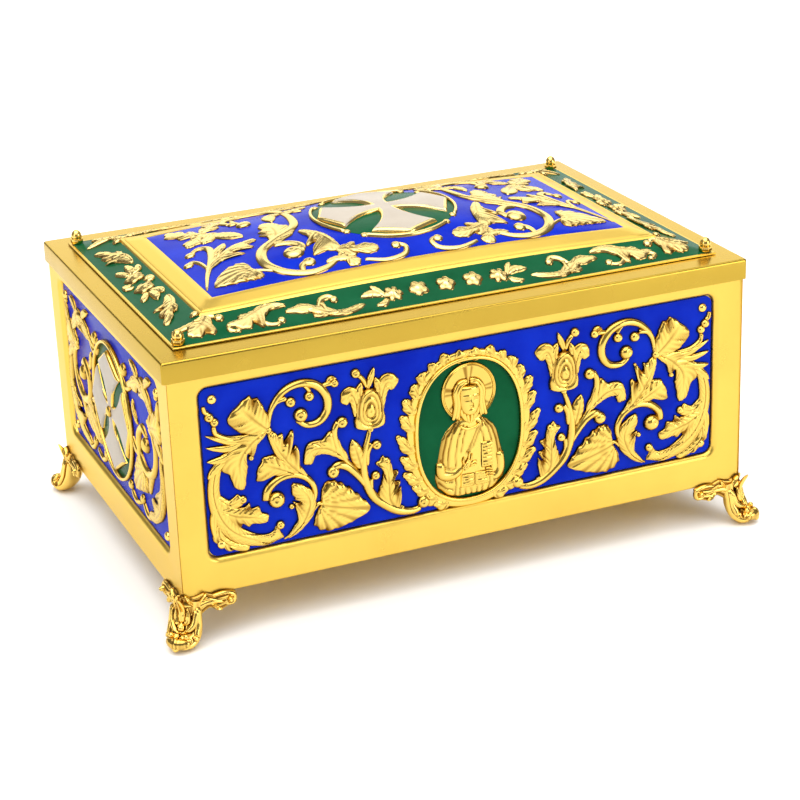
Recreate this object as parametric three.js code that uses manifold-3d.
// Reliquary casket: a gilt sheet-metal box on four cast feet, with a lift-off
// lid and pressed, enamelled panels. Millimetres, +Z up. The origin is on the
// floor under the middle of the box, and -Y is the front.
import * as THREE from 'three';
import { mergeVertices } from 'three/addons/utils/BufferGeometryUtils.js';
import Module from 'manifold-3d';

const wasm = await Module();
wasm.setup();

// ---- driving dimensions -------------------------------------------------
const GAP = 0.3;                 // clearance between touching pieces
const BODY_W = 256.8;            // body, outside, left to right
const BODY_D = 172.3;            // body, outside, front to back
const BODY_Z = 19.6;               // underside of the body above the floor
const WALL = 1.5;                // body sheet
const LID_W = 260;
const LID_D = 175.5;
const LID_TOP = 122.1;           // flat of the lid above the floor
const LID_SHEET = 1.5;
const RIM_H = 9;                 // height of the lid's turned-down rim
const RIM_SHEET = 1.3;
const POCKET_W = 232.7;          // pressed recess, front and back
const POCKET_D = 147;            // pressed recess, ends
const POCKET_H = 75.2;
const POCKET_Z = 71.3;           // middle height of the recesses
const POCKET_DEEP = 3;
const PANEL_T = 0.8;             // pressed panel sheet
const PANEL_PLAY = 0.4;          // panel edge to the foot of the recess wall
const SINK = 0.35;               // how far an ornament roots in its sheet
const NUT_X = 118;
const NUT_Y = 73;
// lid plaque, from its rim inwards: half width, half depth, height above the lid
const PLAQUE_RIM = [121.3, 76.4, 0.9];
const PLAQUE_FLAT = [115.8, 70.9, 1.1];
const PLAQUE_MOULD = [102.7, 55.4, 5.3];
const PLAQUE_FIELD = [95.1, 45.4, 7.7];
const DOME_H = 8.1;              // rise of the middle over the field's long sides
const BOW_H = 2.8;               // rise of the long sides over the corners
const PLAQUE_T = 1.9;

const BODY_TOP = LID_TOP - LID_SHEET - GAP;
const GROUND = POCKET_DEEP - GAP - PANEL_T;   // panel ground, behind the wall face

const GOLD = { color: 0xe3b53c, metalness: 1, roughness: 0.28 };
const PANEL = { color: 0xd9ab35, metalness: 0.9, roughness: 0.3 };
const BRIGHT = { color: 0xf0c14b, metalness: 1, roughness: 0.15 };

// ---- solids -------------------------------------------------------------
function asSolid(geometry) {
  const bare = geometry.clone();
  bare.deleteAttribute('normal');
  bare.deleteAttribute('uv');
  const g = mergeVertices(bare, 1e-5);
  return new wasm.Manifold(new wasm.Mesh({
    numProp: 3,
    vertProperties: new Float32Array(g.attributes.position.array),
    triVerts: new Uint32Array(g.index.array),
  }));
}

// A solid through a row of sections. Each section is a ring of points, counter-
// clockwise seen from the far end; one point alone closes an end to a tip.
function loft(rings, closed = false) {
  const pos = [];
  const index = [];
  const first = [];
  for (const ring of rings) {
    first.push(pos.length / 3);
    for (const p of ring) pos.push(p[0], p[1], p[2]);
  }
  const joins = closed ? rings.length : rings.length - 1;
  for (let k = 0; k < joins; k++) {
    const m = (k + 1) % rings.length;
    const near = rings[k].length;
    const far = rings[m].length;
    const n = Math.max(near, far);
    for (let i = 0; i < n; i++) {
      const j = (i + 1) % n;
      if (near > 1) index.push(first[k] + i, first[k] + j, first[m] + (far > 1 ? j : 0));
      if (far > 1) index.push(first[k] + (near > 1 ? i : 0), first[m] + j, first[m] + i);
    }
  }
  if (!closed) {
    const last = rings.length - 1;
    for (let i = 1; i < rings[0].length - 1; i++) index.push(first[0], first[0] + i + 1, first[0] + i);
    for (let i = 1; i < rings[last].length - 1; i++) {
      index.push(first[last], first[last] + i, first[last] + i + 1);
    }
  }
  return new wasm.Manifold(new wasm.Mesh({
    numProp: 3,
    vertProperties: new Float32Array(pos),
    triVerts: new Uint32Array(index),
  }));
}

function box(x0, x1, y0, y1, z0, z1) {
  const g = new THREE.BoxGeometry(x1 - x0, y1 - y0, z1 - z0);
  g.translate((x0 + x1) / 2, (y0 + y1) / 2, (z0 + z1) / 2);
  return asSolid(g);
}

// A round bar along Z; a radius for each height.
function turned(x, y, profile, sides) {
  const rings = profile.map(([r, z]) => {
    if (r === 0) return [[x, y, z]];
    return Array.from({ length: sides }, (_, i) => {
      const a = (i + 0.5) / sides * 2 * Math.PI;
      return [x + r * Math.cos(a), y + r * Math.sin(a), z];
    });
  });
  return loft(rings);
}

function roundedRect(w, h, r, steps) {
  const pts = [];
  const corners = [[1, 1, 0], [-1, 1, 1], [-1, -1, 2], [1, -1, 3]];
  for (const [sx, sy, q] of corners) {
    for (let i = 0; i <= steps; i++) {
      const a = (q + i / steps) * Math.PI / 2;
      pts.push([sx * (w / 2 - r) + r * Math.cos(a), sy * (h / 2 - r) + r * Math.sin(a)]);
    }
  }
  return pts;
}

function node(name, solid, look) {
  const mesh = solid.getMesh();
  const g = new THREE.BufferGeometry();
  g.setAttribute('position', new THREE.BufferAttribute(new Float32Array(mesh.vertProperties), 3));
  g.setIndex(new THREE.BufferAttribute(new Uint32Array(mesh.triVerts), 1));
  g.computeVertexNormals();
  const m = new THREE.Mesh(g, new THREE.MeshStandardMaterial(look));
  m.name = name;
  return m;
}

// ---- the four sides: u to the right, v up, w outwards -------------------
const SIDES = {
  front: { half: BODY_D / 2, width: POCKET_W, at: (u, v, w) => [u, -w, v] },
  back: { half: BODY_D / 2, width: POCKET_W, at: (u, v, w) => [-u, w, v] },
  left: { half: BODY_W / 2, width: POCKET_D, at: (u, v, w) => [-w, -u, v] },
  right: { half: BODY_W / 2, width: POCKET_D, at: (u, v, w) => [w, u, v] },
};

function lying(side, outline, w) {
  return outline.map(([u, v]) => side.at(u, POCKET_Z + v, side.half + w));
}

function casketBox() {
  const inner = [BODY_W / 2 - WALL, BODY_D / 2 - WALL];
  let body = box(-BODY_W / 2, BODY_W / 2, -BODY_D / 2, BODY_D / 2, BODY_Z, BODY_TOP);
  body = body.subtract(box(-inner[0], inner[0], -inner[1], inner[1], BODY_Z + WALL, BODY_TOP + 5));
  for (const side of Object.values(SIDES)) {
    const back = roundedRect(side.width + 1, POCKET_H + 1, 4, 2);
    body = body.add(loft([
      lying(side, back, -POCKET_DEEP - WALL),
      lying(side, back, -WALL / 2),
    ]));
  }
  for (const side of Object.values(SIDES)) {
    const foot = roundedRect(side.width - 4, POCKET_H - 4, 4, 2);
    const lip = roundedRect(side.width, POCKET_H, 5, 2);
    body = body.subtract(loft([
      lying(side, foot, -POCKET_DEEP),
      lying(side, foot, -POCKET_DEEP + 1.4),
      lying(side, lip, 0),
      lying(side, lip, 1),
    ]));
  }
  return body;
}

function lid() {
  const rect = (inset, z) => roundedRect(LID_W - 2 * inset, LID_D - 2 * inset, 1.2, 1)
    .map(([x, y]) => [x, y, z]);
  const inX = LID_W / 2 - RIM_SHEET;
  const inY = LID_D / 2 - RIM_SHEET;
  let tray = loft([rect(0, LID_TOP - RIM_H), rect(0, LID_TOP - 0.8), rect(0.8, LID_TOP)]);
  tray = tray.subtract(box(-inX, inX, -inY, inY, LID_TOP - RIM_H - 1, LID_TOP - LID_SHEET));
  return tray;
}

const CORNERS = [[-1, -1], [1, -1], [1, 1], [-1, 1]];
const CORNER_NAMES = ['front_left', 'front_right', 'back_right', 'back_left'];

// ---- lid plaque surface -------------------------------------------------
const bow = (x) => Math.max(0, 1 - (x / PLAQUE_FIELD[0]) ** 2);

function share(x, y, outer, inner) {
  const s = Math.min(
    (outer[0] - Math.abs(x)) / (outer[0] - inner[0]),
    (outer[1] - Math.abs(y)) / (outer[1] - inner[1]),
  );
  return Math.min(1, Math.max(0, s));
}

function plaqueHeight(x, y) {
  const flat = share(x, y, PLAQUE_RIM, PLAQUE_FLAT) * (PLAQUE_FLAT[2] - PLAQUE_RIM[2]);
  const slope = share(x, y, PLAQUE_FLAT, PLAQUE_MOULD)
    * (PLAQUE_MOULD[2] - PLAQUE_FLAT[2] + 0.75 * BOW_H * bow(x));
  const mould = share(x, y, PLAQUE_MOULD, PLAQUE_FIELD)
    * (PLAQUE_FIELD[2] - PLAQUE_MOULD[2] + 0.25 * BOW_H * bow(x));
  const q = Math.min(1, Math.abs(y) / PLAQUE_FIELD[1]);
  const inside = Math.abs(x) < PLAQUE_FIELD[0] ? bow(x) * (1 - q ** 2.5) * DOME_H : 0;
  return LID_TOP + PLAQUE_RIM[2] + flat + slope + mould + inside;
}

// Height of the plaque as folded from flat facets between grid lines.
function sheetHeight(gx, gy, x, y) {
  const i = Math.min(gx.length - 2, Math.max(0, gx.findIndex((g) => g > x) - 1));
  const j = Math.min(gy.length - 2, Math.max(0, gy.findIndex((g) => g > y) - 1));
  const s = (x - gx[i]) / (gx[i + 1] - gx[i]);
  const t = (y - gy[j]) / (gy[j + 1] - gy[j]);
  const h = (a, b) => plaqueHeight(gx[i + a], gy[j + b]);
  return (h(0, 0) * (1 - s) + h(1, 0) * s) * (1 - t) + (h(0, 1) * (1 - s) + h(1, 1) * s) * t;
}

// ---- ornament: everything is laid out as u, v on the ground, w outwards ---
const smooth = (t) => t * t * (3 - 2 * t);

function blend3(a, b, c, t) {
  if (t < 0.5) return a + (b - a) * smooth(2 * t);
  return b + (c - b) * smooth(2 * t - 1);
}

// A band with a raised ridge along a smooth path.
function band(points, half, high, stops, sides = [1, 1]) {
  const curve = new THREE.SplineCurve(points.map((p) => new THREE.Vector2(p[0], p[1])));
  return stops.map((t) => {
    const c = curve.getPoint(t);
    const d = curve.getTangent(t);
    const h = high(t);
    const w = half(t) * (h + SINK) / h;
    return [
      [c.x - d.y * w * sides[0], c.y + d.x * w * sides[0], -SINK],
      [c.x, c.y, h],
      [c.x + d.y * w * sides[1], c.y - d.x * w * sides[1], -SINK],
    ];
  });
}

function evenly(n) {
  return Array.from({ length: n + 1 }, (_, i) => i / n);
}

// A rolling stem: half widths at its root, middle and end.
function stem(points, widths, steps) {
  const half = (t) => Math.max(0.3, blend3(widths[0], widths[1], widths[2], t));
  return band(points, half, (t) => 0.7 + 0.8 * half(t), evenly(steps));
}

// A leaf with forward-pointing lobes along both edges.
function leaf(points, wide, lobes = 1, sides = [1, 1]) {
  const half = (t) => {
    const belly = 0.18 + 0.82 * Math.sin(Math.PI * Math.min(1, t) ** 0.85) ** 0.8;
    const cut = lobes > 1 ? 0.62 + 0.38 * ((t * lobes) % 1) : 1;
    return wide * belly * cut * (1 - 0.8 * t ** 8);
  };
  const stops = lobes > 1 ? [0] : wide < 4.3 ? [0, 0.42, 1] : [0, 0.25, 0.62, 1];
  for (let k = 1; k < lobes; k++) stops.push(k / lobes - 0.04, k / lobes + 0.02);
  if (lobes > 1) stops.push(1);
  return band(points, half, (t) => 1.1 + (0.6 + 0.12 * wide) * Math.sin(Math.PI * t), stops, sides);
}

// A small raised button; sides of unequal reach make it a flower.
function knob(u, v, r, high = 0.9 * r + 0.6, sides = 5, notch = 1) {
  const ring = (k, w) => Array.from({ length: sides }, (_, i) => {
    const a = i / sides * 2 * Math.PI + 0.3;
    const reach = r * k * (i % 2 ? notch : 1);
    return [u + reach * Math.cos(a), v + reach * Math.sin(a), w];
  }).reverse();
  return [[[u, v, high]], ring(0.82, 0.6 * high), ring(1, -SINK), [[u, v, -SINK]]];
}

// Leaves spread from one root.
function fan(u, v, from, to, reach, wide, count) {
  return Array.from({ length: count }, (_, i) => {
    const share1 = count > 1 ? i / (count - 1) : 0.5;
    const a = (from + (to - from) * share1) * Math.PI / 180;
    const r = reach * (0.86 + 0.14 * Math.sin(Math.PI * share1));
    const tip = [u + r * Math.cos(a), v + r * Math.sin(a)];
    return leaf([[u, v], [(u + tip[0]) / 2, (v + tip[1]) / 2], tip], wide);
  });
}

// Puts ornament on a sheet, once for each mirror given, and fuses it.
function dress(sheet, ornament, at, mirrors) {
  let solid = sheet;
  for (const rings of ornament) {
    for (const [mu, mv] of mirrors) {
      const placed = rings.map((ring) => {
        const r = ring.map(([u, v, w]) => at(u * mu, v * mv, w));
        return mu * mv < 0 ? r.reverse() : r;
      });
      solid = solid.add(loft(placed));
    }
  }
  return solid;
}

// An oval hoop with a ridge; a power under 1 squares its shoulders.
function hoop(cu, cv, ru, rv, half, high, steps, at, power = 0.9) {
  const rings = [];
  for (let i = 0; i < steps; i++) {
    const a = i / steps * 2 * Math.PI;
    const c = Math.sign(Math.cos(a)) * Math.abs(Math.cos(a)) ** power;
    const s = Math.sign(Math.sin(a)) * Math.abs(Math.sin(a)) ** power;
    const ring = [[-half, -SINK], [0, high], [half, -SINK]].map(([k, w]) =>
      at(cu + (ru + k) * c, cv + (rv + k) * s, w));
    rings.push(ring);
  }
  return loft(rings, true);
}

// A flared cross with pointed ends, raised along its middle.
function cross(size, high, at, cu = 0, cv = 0) {
  const arm = [[0.14, 0.14], [0.46, 0.8], [0, 1], [-0.46, 0.8]];
  const outline = [];
  for (let q = 0; q < 4; q++) {
    for (const [a, b] of arm) {
      const t = q * Math.PI / 2;
      const [c, d] = [Math.cos(t), Math.sin(t)];
      outline.push([size * (a * c - b * d), size * (a * d + b * c)]);
    }
  }
  const ring = (k, w) => outline.map(([a, b]) => at(cu + a * k, cv + b * k, w));
  return loft([[at(cu, cv, -SINK)], ring(1, -SINK), ring(0.93, high), [at(cu, cv, high + 0.5)]]);
}

// ---- layouts ------------------------------------------------------------
// One half of the long panel's foliage; the other half mirrors it.
function longHalf() {
  return [
    // great leaf that turns up the panel's end, with its side leaves
    leaf([[84, -32], [97, -30.5], [106, -21], [109, -6], [103, 10]], 4.4, 4),
    leaf([[108, -15], [100, -19.5], [89, -23.5]], 3.6),
    // long leaves from the same root, and the spread leaf over them
    leaf([[86.5, 15.5], [100, 11.3], [113, 13]], 4.4),
    leaf([[88, 14], [99, 6], [104, -2], [97.5, -10]], 4.4, 3),
    leaf([[86.5, 15.8], [91.5, 22], [99.5, 29.5]], 8.6, 2),
    // upper scroll
    stem([[86.3, 15.5], [84.5, 24], [77, 31.4], [67, 31.2], [60.4, 23], [63.5, 14.8], [71, 14], [74.3, 20]],
      [0.8, 1.9, 1.5], 7),
    knob(71, 19, 3.2),
    // lower scroll, the leaves inside it and the branch that carries it
    stem([[83.5, -34], [73.5, -27], [68.3, -18], [72.5, -8.5], [80, -5.5], [87.5, -9.5], [88, -16.5], [82.5, -19]],
      [0.4, 2.3, 1.5], 7),
    knob(84, -15.2, 3.3),
    leaf([[71, -26], [70.5, -18], [77.7, -11]], 3.6),
    stem([[86.3, 15.5], [83.5, 6], [78.5, -2.5], [72, -9]], [1, 3, 1.2], 3),
    leaf([[81, -1], [75.5, 3], [74.5, 13]], 3.4),
    leaf([[79.5, -4.5], [85.5, -1.5], [91, 1.5]], 4.4),
    // vine leaf on the ground line
    leaf([[65, -20.5], [60, -23], [52, -25], [43.2, -26.5]], 10.4),
    // lily on its stalk, with the stalk's curled root
    stem([[19.5, -30.5], [24, -33], [33, -31], [41, -24], [45.3, -13], [45.6, -2], [43.3, 8]], [1, 2, 0.9], 6),
    knob(21, -29.5, 2.6),
    leaf([[43.3, 7], [43.3, 13], [43.3, 26]], 7.6),
    leaf([[39, 14], [36.5, 22], [33, 26.5], [29.5, 22]], 3),
    leaf([[47.5, 14], [49.5, 22], [52, 24.5], [54.2, 18.5]], 3),
    // side shoots of the stalk
    leaf([[48, -9], [60, -0.5], [70, 5]], 4.4),
    // sprig beside the medallion
    leaf([[29.5, -31], [34, -24], [35, -13], [39.5, -8]], 4.2, 3, [1.25, 0.75]),
  ];
}

// The feathered wreath around the oval.
function wreathHalf(cu, cv, ru, rv, count) {
  return Array.from({ length: count }, (_, i) => {
    const a = (-80 + 166 * i / (count - 1)) * Math.PI / 180;
    const c = Math.max(0.02, Math.cos(a)) ** 0.9;
    const s = Math.sign(Math.sin(a)) * Math.abs(Math.sin(a)) ** 0.9;
    const root = [cu + ru * c, cv + rv * s];
    const reach = Math.abs(s) > 0.85 ? 0.5 : 1;
    const lean = Math.min(1, 1.2 * c);
    const tip = [root[0] + (7 * c + 0.5) * reach, root[1] + (3.2 * s + 2.6 * lean) * reach];
    return band([root, tip], (t) => 3.2 - 2.8 * t, (t) => 1.9 - 1.1 * t, [0, 1]);
  });
}

// The saint, half length, as broad plain masses: halo, hair, head, robe, arms, book.
function saint() {
  return [
    knob(0, 14.6, 12.4, 1.3, 10),
    leaf([[0, 3.5], [0, 14], [0, 26.5]], 8),
    knob(0, 13.5, 5.2, 3.4, 6),
    band([[0, -33], [0, -20], [0, -8], [0, 4.5]], (t) => 16.5 - 2 * t - 7.5 * t ** 5, () => 2.8, [0, 0.5, 0.85, 1]),
    stem([[-11, -6], [-13.5, -18], [-4, -24]], [2.6, 3, 2], 2),
    stem([[11, -6], [13.5, -16], [7, -20]], [2.6, 3, 2], 2),
    leaf([[-7, -24], [0, -25.5], [8, -23]], 4.2),
  ];
}

const PLACE = {};
for (const [name, side] of Object.entries(SIDES)) {
  PLACE[name] = (u, v, w) => side.at(u, POCKET_Z + v, side.half - GROUND + w);
}

function sheetFor(name) {
  const side = SIDES[name];
  const [w, h] = [side.width - 4 - 2 * PANEL_PLAY, POCKET_H - 4 - 2 * PANEL_PLAY];
  const outline = roundedRect(w, h, 4 - PANEL_PLAY, 2);
  const at = PLACE[name];
  return loft([-PANEL_T, 0].map((d) => outline.map(([u, v]) => at(u, v, d))));
}

function frontPanel() {
  const at = PLACE.front;
  let p = dress(sheetFor('front'), longHalf(), at, [[1, 1], [-1, 1]]);
  p = dress(p, wreathHalf(0, -1.6, 24.6, 32, 8), at, [[1, 1], [-1, 1]]);
  p = p.add(hoop(0, -1.6, 24.6, 32.2, 1.5, 2.6, 14, at));
  return dress(p, saint(), at, [[1, 1]]);
}

// The back repeats the main stems and leaves, without the small growth.
const BACK_KEEPS = [0, 3, 5, 7, 8, 9, 13];

function backPanel() {
  const at = PLACE.back;
  const foliage = longHalf().filter((_, i) => BACK_KEEPS.includes(i));
  let p = dress(sheetFor('back'), foliage, at, [[1, 1], [-1, 1]]);
  p = p.add(hoop(0, -1.6, 24.6, 32.2, 1.5, 2.6, 12, at));
  return p.add(cross(21, 1.6, at, 0, -1.6));
}

// One half of an end panel's foliage.
function endHalf() {
  return [
    leaf([[62, 20], [50, 27], [36, 26], [22, 28]], 5.2, 3),
    leaf([[54, 15], [59, 19], [66.5, 27]], 6.4),
    stem([[54, 15], [60.5, 5], [57, -6], [48, -10.5], [38.5, -6], [37.5, 4], [45, 8.5]], [1, 2.4, 1.6], 6),
    knob(47, 3, 3.6),
    leaf([[46, -10], [39, -14], [29, -22.5]], 7.6),
    leaf([[66, -2], [66, -18], [59, -26.5], [44, -30]], 4, 3),
    leaf([[65, -22], [57, -18], [52.5, -12]], 3.2),
    knob(35.3, -28.5, 2.6),
  ];
}

function endPanel(name) {
  const at = PLACE[name];
  let p = dress(sheetFor(name), endHalf(), at, [[1, 1], [-1, 1]]);
  p = p.add(hoop(0, -0.5, 28.6, 30, 1.7, 2.6, 12, at, 1));
  return p.add(cross(26.5, 1.9, at, 0, -0.5));
}

// Field of the lid plaque: one half, mirrored left to right.
function fieldHalf() {
  return [
    // front scroll and the leaves on it
    stem([[38, -39], [48, -43], [60, -39.5], [65, -27], [60, -16.5], [49, -9.5], [40, 1], [37, 12], [37, 24]],
      [1, 2.6, 1.8], 7),
    knob(49, -36.5, 3.2),
    leaf([[49, -14], [53, -19], [51, -30.5]], 5.2),
    leaf([[54, -14], [52.5, 0], [49, 17]], 6),
    leaf([[41, -6], [35.5, -16], [31, -42]], 3.4),
    leaf([[33.5, -32], [27, -35], [17.5, -36]], 6),
    // heart leaf and sprig at the outer front corner
    leaf([[71.5, -28.5], [79, -31.5], [87.5, -38.5]], 8.6),
    leaf([[92.5, -38], [85, -16], [82, 8]], 2.8),
    // open flower at the outer back corner, back scroll
    leaf([[88.5, 34], [76, 31.5], [63.5, 31]], 7, 2),
    leaf([[80, 32], [74, 20], [64, 6]], 5),
    stem([[37, 22], [41, 34], [52, 40], [62, 36], [61, 27.5], [54, 27]], [1.8, 2, 1.2], 4),
  ];
}

// Border of the plaque, long sides: one quarter, mirrored both ways.
function longBorderQuarter() {
  return [
    leaf([[113.5, -70], [107.6, -65], [99.5, -61]], 5),
    leaf([[97, -69], [84, -66], [66, -61]], 4.2),
    leaf([[64, -66], [54, -72], [38, -69]], 3.2),
    knob(12, -65.5, 4.3, 2.6, 6),
    knob(23, -65.5, 4.2, 2.6, 6),
  ];
}

function sideBorderQuarter() {
  return [
    leaf([[108.5, -52], [108.5, -40], [113, -31]], 3.4),
    knob(111, -9, 4.6, 2.8, 6),
  ];
}

function lidPlaque() {
  const xs = [PLAQUE_RIM[0], PLAQUE_FLAT[0], PLAQUE_MOULD[0], PLAQUE_FIELD[0], 48];
  const ys = [PLAQUE_RIM[1], PLAQUE_FLAT[1], PLAQUE_MOULD[1], PLAQUE_FIELD[1], 25];
  const gx = [...xs.map((x) => -x), 0, ...xs.slice().reverse()];
  const gy = [...ys.map((y) => -y), 0, ...ys.slice().reverse()];
  const under = LID_TOP + GAP;
  const ring = (x, down) => [
    ...gy.map((y) => [x, y, plaqueHeight(x, y)]),
    ...gy.slice().reverse().map((y) => [x, y, Math.max(under, plaqueHeight(x, y) - down)]),
  ];
  let p = stripSheet(gx.map((x) => ring(x, PLAQUE_T)));
  const at = (u, v, w) => [u, v, sheetHeight(gx, gy, u, v) + w];
  p = dress(p, fieldHalf(), at, [[1, 1], [-1, 1]]);
  p = dress(p, longBorderQuarter(), at, [[1, 1], [-1, 1], [1, -1], [-1, -1]]);
  p = dress(p, sideBorderQuarter(), at, [[1, 1], [-1, 1], [1, -1], [-1, -1]]);
  const star = knob(0, -65.5, 5, 2.6, 8, 0.6);
  p = dress(p, [star], at, [[1, 1], [1, -1]]);
  p = p.add(hoop(0, 0, 31, 31, 1.3, 2.2, 12, at, 1));
  return p.add(cross(28.5, 1.6, at));
}

// A thin sheet given as sections of equal length: upper line, then lower line back.
function stripSheet(sections) {
  const n = sections[0].length;
  const pos = sections.flat().flat();
  const index = [];
  const at = (k, i) => k * n + (i % n);
  for (let k = 0; k < sections.length - 1; k++) {
    for (let i = 0; i < n; i++) {
      index.push(at(k, i), at(k + 1, i), at(k + 1, i + 1));
      index.push(at(k, i), at(k + 1, i + 1), at(k, i + 1));
    }
  }
  const last = sections.length - 1;
  for (let i = 0; i < n / 2 - 1; i++) {
    const j = n - 1 - i;
    index.push(at(0, i), at(0, i + 1), at(0, j), at(0, i + 1), at(0, j - 1), at(0, j));
    index.push(at(last, i), at(last, j), at(last, i + 1), at(last, i + 1), at(last, j), at(last, j - 1));
  }
  return new wasm.Manifold(new wasm.Mesh({
    numProp: 3,
    vertProperties: new Float32Array(pos),
    triVerts: new Uint32Array(index),
  }));
}

// ---- fasteners ----------------------------------------------------------
function capNut(sx, sy) {
  const base = LID_TOP + PLAQUE_FLAT[2] + GAP;
  return turned(sx * NUT_X, sy * NUT_Y, [
    [2.9, base], [2.9, base + 0.9], [2, base + 1.5], [2.1, base + 4.2], [0, base + 6],
  ], 6);
}

function rivet(name, u, v) {
  const at = PLACE[name];
  const ring = (r, w) => Array.from({ length: 5 }, (_, i) => {
    const a = i / 5 * 2 * Math.PI;
    return at(u + r * Math.cos(a), v + r * Math.sin(a), w);
  });
  return loft([ring(2.1, GAP), ring(1.7, GAP + 1.1), [at(u, v, GAP + 1.7)]]);
}

// ---- feet ---------------------------------------------------------------
// One foot is laid out at a corner of the body: the corner edge is at x = 0,
// y = 0, the body lies at negative x and y, and the toe points out along the
// diagonal. Along the diagonal u runs outwards.
// Sections of the leg from the corner down to the toe: u, z, half thickness
// fore and aft, half width across.
const LEG = [
  [-4.2, 18.4, 4.4, 6.4], [-2.8, 13.4, 3.5, 6.6], [-1.7, 8.8, 3.9, 7.4], [0.3, 4.9, 3.9, 7.6],
  [3.6, 2.4, 3.8, 7], [6.6, 2.8, 2.3, 6],
];
const TOE_ROLL = [8.1, 4.5, 2.3, 5.6];   // u, z, radius and half length of the toe's roll
// Sections of a wing on a wall of the body, from its end to the corner: distance
// from the corner and height of its lower edge, then of its upper edge.
const WING = [
  [-22.3, 16.6, -22.5, 19.9], [-20, 14.2, -20, 20.3], [-14.2, 12.2, -14.2, 20.3],
  [-10.8, 14.8, -9, 21.9], [-5, 10.5, -4, 20.8], [1.8, 10.5, 1.8, 22.6],
];
const WING_T = 1.5;
const BRACKET = 9;                       // reach of the foot's seat under the body

const diagonal = (out, across, z) => [(out + across) * Math.SQRT1_2, (out - across) * Math.SQRT1_2, z];

// The leg: keeled sections square to its own S-curve.
function footLeg() {
  return LEG.map(([u, z, thick, wide], i) => {
    const a = LEG[Math.max(0, i - 1)];
    const b = LEG[Math.min(LEG.length - 1, i + 1)];
    const len = Math.hypot(b[0] - a[0], b[1] - a[1]);
    return Array.from({ length: 6 }, (_, m) => {
      const q = m / 6 * 2 * Math.PI;
      const out = thick * Math.cos(q);
      return diagonal(u - (b[1] - a[1]) / len * out, wide * Math.sin(q), z + (b[0] - a[0]) / len * out);
    });
  });
}

// The roll in which the toe curls up, lying across the diagonal.
function toeRoll() {
  const [u, z, r, half] = TOE_ROLL;
  return [[-1, 0.55], [0, 1], [1, 0.55]].map(([h, f]) =>
    Array.from({ length: 5 }, (_, m) => {
      const q = m / 5 * 2 * Math.PI;
      return diagonal(u + r * f * Math.cos(q), h * half, z + r * f * Math.sin(q));
    }));
}

// A small leaf that leans out over the corner.
function cornerLeaf() {
  return [[-0.6, 14, 1.5], [1.2, 18.5, 1.9], [3.8, 22.4, 0.9]].map(([u, z, wide]) => [
    diagonal(u - 0.9, 0, z), diagonal(u, wide, z), diagonal(u + 0.9, 0, z), diagonal(u, -wide, z)]);
}

function footWing() {
  return WING.map(([lowS, lowZ, topS, topZ]) => [
    [GAP, lowS, lowZ], [GAP, topS, topZ], [GAP + WING_T, topS, topZ], [GAP + WING_T, lowS, lowZ]]);
}

// Curled end of the wing, a button standing on it.
function wingCurl() {
  return [[2.9, GAP + 0.4], [2.3, GAP + 2.6]].map(([r, w]) =>
    Array.from({ length: 5 }, (_, m) => {
      const q = m / 5 * 2 * Math.PI;
      return [w, -19.4 + r * Math.cos(q), 17 + r * Math.sin(q)];
    }));
}

const upright = (x0, x1, z0, z1) => [z0, z1].map((z) => [[x0, x0, z], [x1, x0, z], [x1, x1, z], [x0, x1, z]]);

function footAt(sx, sy) {
  const made = (rings, swap = false) => {
    const placed = rings.map((ring) => ring.map(([x, y, z]) => {
      const [a, b] = swap ? [y, x] : [x, y];
      return [sx * (BODY_W / 2 + a), sy * (BODY_D / 2 + b), z];
    }));
    const turnedOver = (sx * sy < 0) !== swap;
    return loft(turnedOver ? placed.map((r) => r.reverse()) : placed);
  };
  let foot = made(footLeg());
  foot = foot.add(made(toeRoll()));
  foot = foot.add(made(cornerLeaf()));
  foot = foot.add(made(upright(-BRACKET, 1.5, BODY_Z - 2.6, BODY_Z - GAP)));
  for (const swap of [false, true]) {
    foot = foot.add(made(footWing(), swap));
    foot = foot.add(made(wingCurl(), swap));
  }
  return foot.subtract(box(-BODY_W, BODY_W, -BODY_D, BODY_D, -20, 0));
}

// ---- assembly -----------------------------------------------------------
const casket = new THREE.Group();
casket.name = 'reliquary_casket';
casket.add(node('casket_box', casketBox(), GOLD));
casket.add(node('lid', lid(), GOLD));
casket.add(node('lid_plaque', lidPlaque(), PANEL));
casket.add(node('front_panel', frontPanel(), PANEL));
casket.add(node('back_panel', backPanel(), PANEL));
casket.add(node('left_panel', endPanel('left'), PANEL));
casket.add(node('right_panel', endPanel('right'), PANEL));

CORNERS.forEach(([sx, sy], i) => {
  casket.add(node(`cap_nut_${CORNER_NAMES[i]}`, capNut(sx, sy), BRIGHT));
  casket.add(node(`foot_${CORNER_NAMES[i]}`, footAt(sx, sy), BRIGHT));
});

for (const [name, side] of Object.entries(SIDES)) {
  const u = side.width / 2 - 6.4;
  const v = POCKET_H / 2 - 6.4;
  CORNERS.forEach(([su, sv], i) => {
    casket.add(node(`rivet_${name}_${i + 1}`, rivet(name, su * u, sv * v), BRIGHT));
  });
}

export default casket;
